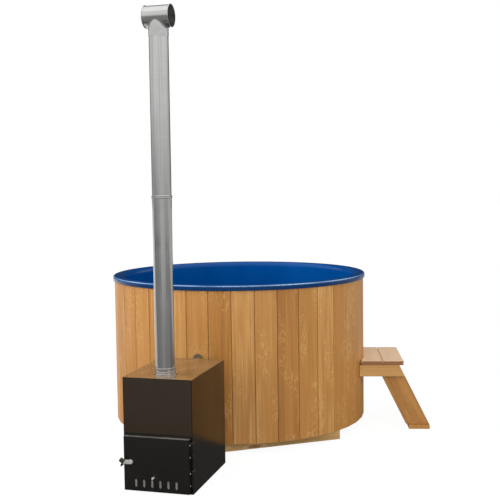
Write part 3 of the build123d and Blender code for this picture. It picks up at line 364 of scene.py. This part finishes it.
def paint_finish(name, colour, roughness, top_light_share=0.0, top_light_colour=(0.30, 0.28, 0.25)):
    """Heat-proof stove paint, faintly cloudy, with painted light on the faces that face up if wanted, broken up
    by noise.
    """
    paint = Finish(name, colour, roughness)
    place = paint.place()
    cloud = paint.noise(place, scale=2.2, detail=3.0)
    spray = paint.noise(place, scale=260.0, detail=2.0)
    base = paint.blend(colour, toned(colour, 1.18), paint.between(cloud, 0.3, 0.7))
    # Painted light: faces that face up are blended towards a lighter colour, broken up by noise.
    if top_light_share:
        upward = paint.parts(paint.facing())[2]
        fine_breakup = paint.noise(place, scale=60.0, detail=3.0, roughness=0.6)
        streak_breakup = paint.noise(paint.mapped(place, scale=(9, 3.5, 6)), roughness=0.6, distortion=0.5)
        share = paint.between(upward, 0.6, 0.9, 0.0, top_light_share)
        share = paint.times(share, paint.between(fine_breakup, 0.2, 0.7, 0.8, 1.0))
        share = paint.times(share, paint.between(streak_breakup, 0.32, 0.62, 0.66, 1.05))
        base = paint.blend(base, top_light_colour, share)
    paint.colour(base)
    paint.rough(paint.between(cloud, 0.3, 0.7, roughness - 0.02, roughness + 0.03))
    paint.relief(spray, depth=0.00003, strength=0.3)
    return paint.material


def sooty_finish():
    """Steel that has been in the fire."""
    soot = Finish("sooty_steel", (0.03, 0.028, 0.026), 0.85)
    flakes = soot.noise(soot.place(), scale=60.0, detail=6.0, roughness=0.7, distortion=0.6)
    cloud = soot.noise(soot.place(), scale=9.0, detail=3.0)
    base = soot.blend((0.012, 0.011, 0.010), (0.07, 0.055, 0.045), soot.between(flakes, 0.4, 0.75))
    soot.colour(soot.blend(base, (0.11, 0.045, 0.022), soot.between(cloud, 0.58, 0.8, 0.0, 0.6)))
    soot.relief(flakes, depth=0.0008, strength=0.6)
    return soot.material


def cast_finish():
    """Rough cast iron."""
    iron = Finish("cast_iron", (0.05, 0.048, 0.046), 0.7, metallic=0.4)
    sand = iron.noise(iron.place(), scale=420.0, roughness=0.7)
    iron.colour(iron.blend((0.025, 0.024, 0.023), (0.09, 0.08, 0.072), iron.between(sand, 0.35, 0.7)))
    iron.relief(sand, depth=0.0006, strength=0.7)
    return iron.material


def steel_finish(name, stretch, colour=(0.60, 0.60, 0.59), roughness=0.26, contrast=0.2, streak=0.0):
    """Brushed stainless steel, its marks short along the axis of the largest stretch, and upright streaks."""
    steel = Finish(name, colour, roughness, metallic=1.0)
    marks = steel.noise(steel.mapped(steel.place(), scale=stretch), roughness=0.6)
    smudge = steel.noise(steel.place(), scale=7.0, roughness=0.6)
    base = steel.blend(toned(colour, 1 - contrast), colour, steel.between(marks, 0.25, 0.7))
    if streak:
        run = steel.noise(steel.mapped(steel.place(), scale=(40, 40, 0.4)), detail=2.0)
        base = steel.blend(base, toned(colour, 1 - streak), steel.between(run, 0.38, 0.62))
    steel.colour(base)
    steel.rough(steel.between(smudge, 0.3, 0.7, roughness - 0.04, roughness + 0.06))
    steel.relief(marks, depth=0.00005, strength=0.2)
    return steel.material


def cap_finish():
    """The chimney cap's stainless steel, brown-black with soot inside its bore."""
    steel = Finish("cap_stainless", (0.62, 0.62, 0.61), 0.2, metallic=1.0)
    lip_radius = (cap_high.y - cap_low.y) / 2
    bore = lip_radius - cap_lip - soot_inset
    _, y, z = steel.parts(steel.place())
    aside = steel.minus(y, (cap_low.y + cap_high.y) / 2)
    reach = steel.distance(aside, steel.minus(z, cap_high.z - lip_radius))
    inside = steel.between(reach, bore - soot_fade, bore + soot_fade, 1.0, 0.0)
    marks = steel.noise(steel.mapped(steel.place(), scale=(6, 90, 90)), roughness=0.6)
    soot = steel.noise(steel.place(), scale=22.0, detail=5.0, roughness=0.6)
    bare = steel.blend((0.56, 0.56, 0.55), (0.64, 0.64, 0.63), steel.between(marks, 0.25, 0.7))
    blackened = steel.blend((0.022, 0.020, 0.018), (0.10, 0.095, 0.085), steel.between(soot, 0.3, 0.75))
    steel.colour(steel.blend(bare, blackened, inside))
    steel.give(steel.shader, "Metallic", steel.minus(1.0, inside))
    steel.rough(steel.between(inside, 0.0, 1.0, 0.2, 0.7))
    steel.relief(marks, depth=0.00005, strength=0.2)
    return steel.material


def zinc_finish(name, colour, black_above=None):
    """Zinc-plated steel, dull and light, with a faint spangle, and black above a height if wanted."""
    zinc = Finish(name, colour, 0.38, metallic=0.45)
    spangle, chance = zinc.cells(zinc.place(), scale=260.0)
    cloud = zinc.noise(zinc.place(), scale=30.0, detail=3.0)
    base = zinc.blend(toned(colour, 0.85), toned(colour, 1.15), zinc.between(chance, 0.1, 0.9))
    # Above the height, the zinc is blended to near black.
    if black_above:
        height = zinc.parts(zinc.place())[2]
        blackened = zinc.between(height, black_above, black_above + black_fade)
        base = zinc.blend(base, (0.02, 0.018, 0.016), blackened)
    zinc.colour(base)
    zinc.rough(zinc.between(cloud, 0.3, 0.7, 0.30, 0.46))
    zinc.relief(spangle, depth=0.00005, strength=0.2)
    return zinc.material


def brass_finish():
    """Cast and turned brass, slightly tarnished."""
    brass = Finish("tarnished_brass", (0.62, 0.43, 0.17), 0.34, metallic=1.0)
    cloud = brass.noise(brass.place(), scale=45.0, roughness=0.6)
    brass.colour(brass.blend((0.42, 0.27, 0.10), (0.72, 0.53, 0.24), brass.between(cloud, 0.3, 0.7)))
    brass.rough(brass.between(cloud, 0.3, 0.7, 0.45, 0.28))
    brass.relief(cloud, depth=0.0002, strength=0.3)
    return brass.material


def plastic_finish(name, colour, roughness, speck=0.25):
    """Moulded plastic or rubber with a fine skin."""
    skin = Finish(name, colour, roughness)
    fine = skin.noise(skin.place(), scale=700.0, detail=3.0, roughness=0.6)
    cloud = skin.noise(skin.place(), scale=18.0, detail=3.0)
    pale = tuple(min(1.0, c * (1 + speck) + 0.006) for c in colour)
    skin.colour(skin.blend(colour, pale, skin.between(cloud, 0.35, 0.7)))
    skin.rough(skin.between(fine, 0.3, 0.7, roughness - 0.06, roughness + 0.1))
    skin.relief(fine, depth=0.0001, strength=0.4)
    return skin.material


def grommet_finish():
    """Moulded grommet in the hose hole: a pale lip round a brown face."""
    skin = Finish("hose_grommet", (0.30, 0.24, 0.16), 0.5)
    x, _, z = skin.parts(skin.place())
    reach = skin.distance(skin.minus(x, hose_centre.x), skin.minus(z, hose_centre.z + hole_rise))
    stain = skin.noise(skin.place(), scale=60.0, roughness=0.6)
    face = skin.blend((0.16, 0.10, 0.045), (0.26, 0.17, 0.08), skin.between(stain, 0.3, 0.7))
    lip_start = hole_radius - grommet_lip
    lip = skin.between(reach, lip_start - grommet_fade, lip_start + grommet_fade)
    skin.colour(skin.blend(face, (0.55, 0.50, 0.41), lip))
    skin.relief(stain, depth=0.0001, strength=0.3)
    return skin.material


def rope_finish():
    """Woven glass rope, grey with use."""
    rope = Finish("woven_rope", (0.30, 0.29, 0.27), 0.95)
    weave, _ = rope.cells(rope.place(), scale=420.0)
    soot = rope.noise(rope.place(), scale=24.0)
    base = rope.blend((0.42, 0.41, 0.38), (0.20, 0.19, 0.18), rope.between(weave, 0.2, 0.7))
    rope.colour(rope.blend(base, (0.07, 0.06, 0.055), rope.between(soot, 0.5, 0.75, 0.0, 0.8)))
    rope.relief(weave, depth=0.0008, strength=0.8)
    return rope.material


# Turns that bring each timber's grain to X, and tones from light to dark
along_steps = (0, 0, -steps_turn)
along_treads = (0, 0, -steps_turn - quarter)
along_legs = (0, leg_lean - quarter, 0)
along_bearers = (0, 0, -bearer_turn)
along_deck = (0, 0, -bearer_turn - quarter)
along_posts = (0, quarter, 0)
# Painted light: the treads' tones are lighter for light falling on their tops, and partly paler timber; the legs'
# and sole's tones are darker, as painted shade behind the rails.
tread_tones_lit = ((1.0, 0.83, 0.62), (0.98, 0.71, 0.47), (0.84, 0.54, 0.32))
step_tones = ((0.70, 0.42, 0.17), (0.57, 0.31, 0.10), (0.40, 0.19, 0.052))
leg_tones_shaded = ((0.63, 0.35, 0.11), (0.48, 0.225, 0.054), (0.33, 0.14, 0.030))
rough_tones = ((0.46, 0.30, 0.16), (0.34, 0.21, 0.105), (0.22, 0.125, 0.06))
bearer_tones = ((0.66, 0.44, 0.20), (0.50, 0.31, 0.12), (0.33, 0.18, 0.06))
tread_end = (0.32, 0.145, 0.05)
rail_end = (0.40, 0.2, 0.075)
rough_end = (0.22, 0.13, 0.065)

# Paints, metals and plastics
casing_black = (0.0075, 0.006, 0.004)
# Painted reflection: the casing's top faces take on the wooden cladding's brown.
casing_top_reflection = (0.40, 0.225, 0.088)
panel_brown = (0.022, 0.0145, 0.008)
door_black = (0.0075, 0.0066, 0.0056)
flue_grey = (0.69, 0.685, 0.67)

finishes = {
    "cladding": cladding_finish(),
    "treads": timber_finish("tread_boards", tread_tones_lit, [along_treads], end_tone=tread_end),
    "rails": timber_finish("rail_boards", step_tones, [along_steps], end_tone=rail_end),
    "legs": timber_finish("leg_boards", leg_tones_shaded, [along_steps, along_legs]),
    "sole": timber_finish("sole_board", leg_tones_shaded, [along_treads]),
    "deck": timber_finish("deck_boards", rough_tones, [along_deck], 0.75, rough_end),
    "bearers": timber_finish("bearer_timber", bearer_tones, [along_bearers], 0.7, rough_end),
    "posts": timber_finish("post_timber", rough_tones, [along_posts], 0.75, rough_end),
    "liner": liner_finish(),
    # Painted light on faces that face up: a painted reflection of the wooden cladding on the casing's top, and a
    # painted highlight on the door's top ledge.
    "casing_paint": paint_finish("casing_paint", casing_black, 0.15, top_light_share=0.8, top_light_colour=casing_top_reflection),
    "panel_paint": paint_finish("panel_paint", panel_brown, 0.24),
    "paint": paint_finish("door_paint", door_black, 0.26, top_light_share=0.7),
    "soot": sooty_finish(),
    "iron": cast_finish(),
    "stainless": steel_finish("brushed_stainless", (60, 60, 900)),
    "flue_steel": steel_finish("flue_stainless", (3, 3, 130), flue_grey, 0.17, contrast=0.05, streak=0.3),
    "cap_steel": cap_finish(),
    "bare_steel": steel_finish("bare_steel", (90, 90, 1100), (0.62, 0.61, 0.58), 0.32),
    "zinc": zinc_finish("dull_zinc", (0.66, 0.65, 0.61)),
    "half_black_zinc": zinc_finish("half_black_zinc", (0.30, 0.29, 0.27), black_above=slot_top),
    "brass": brass_finish(),
    "rubber": plastic_finish("plug_rubber", (0.018, 0.018, 0.019), 0.62),
    "hose": plastic_finish("grey_hose", (0.24, 0.22, 0.19), 0.6),
    "grommet": grommet_finish(),
    "black_grip": plastic_finish("black_grip", (0.012, 0.012, 0.012), 0.38),
    "white_plastic": plastic_finish("white_fitting_plastic", (0.80, 0.80, 0.77), 0.34, speck=0.05),
    "grey_plastic": plastic_finish("grey_pipe_plastic", (0.30, 0.31, 0.32), 0.42, speck=0.12),
    "red_grip": plastic_finish("red_grip", (0.42, 0.012, 0.010), 0.4),
    "rope": rope_finish(),
}


# Modelling

sharp_angle = math.radians(35)
merge_distance = 0.00002
flat_angle = math.radians(0.5)


def deselect():
    """Leave nothing selected."""
    if bpy.context.mode != "OBJECT":
        bpy.ops.object.mode_set(mode="OBJECT")
    bpy.ops.object.select_all(action="DESELECT")


def pick(piece):
    """Select one piece and make it the active one."""
    deselect()
    piece.select_set(True)
    bpy.context.view_layer.objects.active = piece


def choose_faces(piece, wanted):
    """Select the faces whose normal passes a test, in edit mode."""
    pick(piece)
    bpy.ops.object.mode_set(mode="EDIT")
    bpy.ops.mesh.select_mode(type="FACE")
    bpy.ops.mesh.select_all(action="DESELECT")
    bpy.ops.object.mode_set(mode="OBJECT")
    for face in piece.data.polygons:
        face.select = wanted(face.normal)
    bpy.ops.object.mode_set(mode="EDIT")


def paint_with(piece, finish):
    """Give a piece one finish all over."""
    piece.data.materials.clear()
    piece.data.materials.append(finishes[finish])


def use(piece, kind, **settings):
    """Add a modifier of a kind, and apply it."""
    pick(piece)
    modifier = piece.modifiers.new(kind.title(), kind)
    for key, value in settings.items():
        setattr(modifier, key, value)
    bpy.ops.object.modifier_apply(modifier=modifier.name)


def round_edges(piece, width):
    """Round the sharp edges of a piece."""
    use(piece, "BEVEL", width=width, segments=2, limit_method="ANGLE", angle_limit=sharp_angle)


def smooth(piece):
    """Shade a piece smooth, except across sharp edges, with its large flat faces kept flat."""
    pick(piece)
    bpy.ops.object.shade_smooth_by_angle(angle=sharp_angle)
    use(piece, "WEIGHTED_NORMAL", keep_sharp=True, weight=90)


def cut_out(piece, cutter):
    """Cut one piece's shape out of another, and delete the cutter."""
    use(piece, "BOOLEAN", operation="DIFFERENCE", object=cutter)
    bpy.data.objects.remove(cutter)


def node_copy(node, name):
    """A merged copy of a node's mesh, with its flat faces whole, as a new piece."""
    piece = nodes[node].copy()
    piece.data = nodes[node].data.copy()
    piece.name = name
    for key in [k for k in piece.keys() if k.startswith("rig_")]:
        del piece[key]
    piece.parent = None
    bpy.context.scene.collection.objects.link(piece)
    pick(piece)
    bpy.ops.object.mode_set(mode="EDIT")
    bpy.ops.mesh.select_all(action="SELECT")
    bpy.ops.mesh.remove_doubles(threshold=merge_distance)
    bpy.ops.mesh.dissolve_limited(angle_limit=flat_angle)
    bpy.ops.object.mode_set(mode="OBJECT")
    return piece


def body_of_node(node):
    """The body that a node belongs to."""
    bodies = frame["record"]["behaviour"]["bodies"]
    return next(body for body, members in bodies.items() if node in members)


def join_in(piece, node, finish):
    """Let a piece ride on a node's body, with a finish of its own."""
    paint_with(piece, finish)
    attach(piece, body_of_node(node))


def stand_for(piece, node, finish):
    """Let a piece ride in a node's stead, with the node hidden."""
    join_in(piece, node, finish)
    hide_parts(node)


def add_round(name, place, radius, depth):
    """A round blank that lies along Y, with its place in its mesh."""
    deselect()
    lying = (quarter, 0, 0)
    bpy.ops.mesh.primitive_cylinder_add(vertices=64, radius=radius, depth=depth, location=place, rotation=lying)
    blank = bpy.context.object
    blank.name = name
    bpy.ops.object.transform_apply(location=True, rotation=True, scale=True)
    return blank


# Pieces


def make_hose_grommet():
    """The lipped grommet that fills the hose hole in the cladding, round the upper hose."""
    hose_place = hose_centre + Vector((0, grommet_setback, 0))
    grommet = add_round("hose_grommet", hose_place + Vector((0, 0, hole_rise)), hole_radius, grommet_depth)
    choose_faces(grommet, lambda normal: normal.y < -0.9)
    bpy.ops.mesh.inset(thickness=grommet_lip)
    bpy.ops.transform.translate(value=(0, grommet_sink, 0))
    bpy.ops.object.mode_set(mode="OBJECT")
    cut_out(grommet, add_round("hose_way", hose_place, hose_radius, hose_way_depth))
    round_edges(grommet, 0.0012)
    smooth(grommet)
    join_in(grommet, "hose_upper", "grommet")


# Nodes that get rounded edges: node, finish, width of the rounding in millimetres
dressed_nodes = [
    *[(f"cladding_{i}", "cladding", 0.8) for i in range(1, 7)],
    ("tread_outer", "treads", 2.0),
    ("tread_inner", "treads", 2.0),
    ("step_rails", "rails", 2.0),
    ("step_legs", "legs", 2.0),
    ("step_sole", "sole", 2.0),
    ("step_ledger", "rails", 2.0),
    ("bearers", "bearers", 2.5),
    ("base_deck", "deck", 1.5),
    ("bench_posts", "posts", 1.5),
    ("stove_casing", "casing_paint", 1.2),
    ("front_panel", "panel_paint", 0.8),
    ("door_shell", "paint", 1.0),
    ("hinge_leaves_door", "paint", 0.4),
    ("hinge_leaves_casing", "paint", 0.4),
    ("latch_keeper", "paint", 0.5),
    ("latch_lever", "zinc", 0.6),
    ("air_slider", "half_black_zinc", 0.3),
    ("grate", "iron", 1.5),
    ("ash_pan", "soot", 0.4),
    ("valve_body", "brass", 0.8),
    ("valve_tailpiece", "brass", 0.8),
    ("valve_lever", "stainless", 0.5),
    ("valve_grip", "red_grip", 0.4),
    ("guard_grilles", "white_plastic", 0.5),
    ("water_fittings", "white_plastic", 0.8),
    ("backing_nuts", "grey_plastic", 0.8),
    ("drain_flange", "white_plastic", 0.8),
    ("drain_plug", "rubber", 0.5),
    ("hose_clamps", "stainless", 0.3),
]

# Nodes that show as they are, with a finish
kept_nodes = {
    "former_ring_bottom": "deck",
    "former_ring_middle": "deck",
    "former_ring_top": "deck",
    "liner": "liner",
    "hose_upper": "hose",
    "hose_lower": "hose",
    "drain_elbow": "grey_plastic",
    "drain_pipe": "grey_plastic",
    "valve_ball": "stainless",
    "firebox": "soot",
    "smoke_baffle": "soot",
    "water_stubs": "stainless",
    "flue_collar": "flue_steel",
    "door_back": "soot",
    "door_seal": "rope",
    "slider_knob": "zinc",
    "slider_guides": "bare_steel",
    "hinge_pins": "bare_steel",
    "hinge_screws": "zinc",
    "latch_bush": "zinc",
    "latch_grip": "black_grip",
    "flue_lower": "flue_steel",
    "flue_upper": "flue_steel",
    "tee_cap": "cap_steel",
}

for node, finish, width in dressed_nodes:
    piece = node_copy(node, node + "_finished")
    round_edges(piece, width / 1000)
    smooth(piece)
    stand_for(piece, node, finish)

for node, finish in kept_nodes.items():
    paint_with(nodes[node], finish)

make_hose_grommet()


# Floor, lights and camera

floor_size = 120
floor_glow = 0.93
floor_shade = 0.12

# Where the floor is lighter in gloss: from and to a distance, a depth or a width
strip_way = (0.36, -0.933)
strip_width = (0.86, 0.97)
strip_reach = (4.0, 16.0)
far_reach = (2.0, 4.6)
behind_depth = (0.8, 2.5)
beside_depth = (-2.3, -1.7)
beside_width = (-0.7, -0.1)

# The level direction straight away from the camera
away = (-0.2816, 0.9595)


def gloss_of_floor(pale, x, y, far):
    """How bright the floor is in gloss: dark at the tub, lighter far off, behind, beside and in a front strip."""
    beyond = pale.minus(y, flue_y)
    strip = pale.over(pale.along(x, beyond, strip_way), pale.distance(x, beyond))
    strip = pale.times(pale.between(strip, *strip_width), pale.between(far, *strip_reach, 0.0, 0.24))
    behind = pale.between(y, *behind_depth, 0.0, 0.34)
    beside = pale.times(pale.between(x, *beside_width, 0.5, 0.0), pale.between(y, *beside_depth))
    lighter = pale.plus(pale.plus(strip, behind), beside)
    return pale.plus(lighter, pale.between(far, *far_reach, 0.07, 0.25))


def make_floor():
    """A plain white floor: evenly lit to the camera, and darker near the tub where it shows in gloss."""
    deselect()
    bpy.ops.mesh.primitive_plane_add(size=floor_size, location=(0, 0, 0))
    floor = bpy.context.object
    floor.name = "floor"
    pale = Finish("pale_floor", (0.62, 0.61, 0.60), 1.0)
    x, y, _ = pale.parts(pale.place())
    seen = pale.add("Emission", {"Color": (1, 1, 1, 1), "Strength": floor_glow}).outputs[0]
    shaded = pale.add("BsdfDiffuse", {"Color": (floor_shade, floor_shade, floor_shade, 1)}).outputs[0]
    to_camera = pale.add("AddShader", {0: seen, 1: shaded}).outputs[0]
    in_gloss = pale.add("Emission", {"Strength": gloss_of_floor(pale, x, y, pale.distance(x, y))}).outputs[0]
    glossy_ray = pale.ray_kind("Is Glossy Ray")
    other = pale.add("MixShader", {0: glossy_ray, 1: pale.shader.outputs[0], 2: in_gloss}).outputs[0]
    shown = pale.add("MixShader", {0: pale.ray_kind("Is Camera Ray"), 1: other, 2: to_camera}).outputs[0]
    pale.give(pale.tree.nodes["Material Output"], "Surface", shown)
    floor.data.materials.append(pale.material)


def make_world():
    """White to the camera, soft white light, and in gloss a bright room that is dark low down behind."""
    world = bpy.data.worlds.new("studio")
    bpy.context.scene.world = world
    world.use_nodes = True
    sky = Nodes(world.node_tree)
    x, y, z = sky.parts(sky.add("TexCoord", {}).outputs["Generated"])
    # The share is a little under 1, so that nothing is divided by 0 straight up
    level = sky.sum("SQRT", sky.minus(1.0, sky.times(sky.times(z, 0.999), z)))
    behind = sky.between(sky.over(sky.along(x, y, away), level), 0.6, 0.8)
    low = sky.between(z, 0.0, 0.11, 0.48, 0.80)
    middle = sky.shifted(low, 0.92, sky.between(z, 0.2, 0.3))
    middle = sky.shifted(middle, 0.03, behind)
    overhead = sky.times(sky.between(z, 0.6, 0.85), sky.minus(1.0, sky.times(behind, 0.2)))
    in_gloss = sky.shifted(middle, 1.25, overhead)
    soft = sky.times(sky.between(y, -0.9, 0.6, 1.55, 0.95), sky.between(z, 0.0, 0.9, 0.75, 0.6))
    other = sky.shifted(soft, in_gloss, sky.ray_kind("Is Glossy Ray"))
    shown = sky.shifted(other, 1.0, sky.ray_kind("Is Camera Ray"))
    sky.give(sky.tree.nodes["Background"], "Color", (1, 1, 1, 1))
    sky.give(sky.tree.nodes["Background"], "Strength", shown)


def make_light(name, place, target, size, watts):
    """A soft rectangular lamp that doesn't show in gloss."""
    lamp = bpy.data.lights.new(name, "AREA")
    lamp.shape = "RECTANGLE"
    lamp.size, lamp.size_y = size
    lamp.energy = watts
    holder = bpy.data.objects.new(name, lamp)
    bpy.context.scene.collection.objects.link(holder)
    holder.location = place
    holder.rotation_mode = "QUATERNION"
    holder.rotation_quaternion = (Vector(target) - Vector(place)).to_track_quat("-Z", "Y")
    holder.visible_glossy = False


def make_camera():
    """The photograph's viewpoint: place, axes and focal length."""
    place = Vector((1.8695, -6.3715, 1.7282))
    right = Vector((0.96317, 0.26854, -0.01343))
    up = Vector((-0.0064, 0.07285, 0.99732))
    back = right.cross(up).normalized()
    up = back.cross(right)
    lens = bpy.data.cameras.new("camera")
    lens.lens = 65.51
    lens.sensor_width = 36
    camera = bpy.data.objects.new("camera", lens)
    bpy.context.scene.collection.objects.link(camera)
    camera.matrix_world = Matrix.Translation(place) @ Matrix((right, up, back)).transposed().to_4x4()
    bpy.context.scene.camera = camera


make_floor()
make_world()
make_light("key", place=(-6.5, -4.5, 3.6), target=(0, -0.4, 0.8), size=(6.0, 5.0), watts=400)
make_light("fill", place=(5.0, -5.0, 2.6), target=(0, -0.5, 0.9), size=(5.0, 4.0), watts=130)
make_camera()
bpy.context.scene.view_settings.view_transform = "Standard"
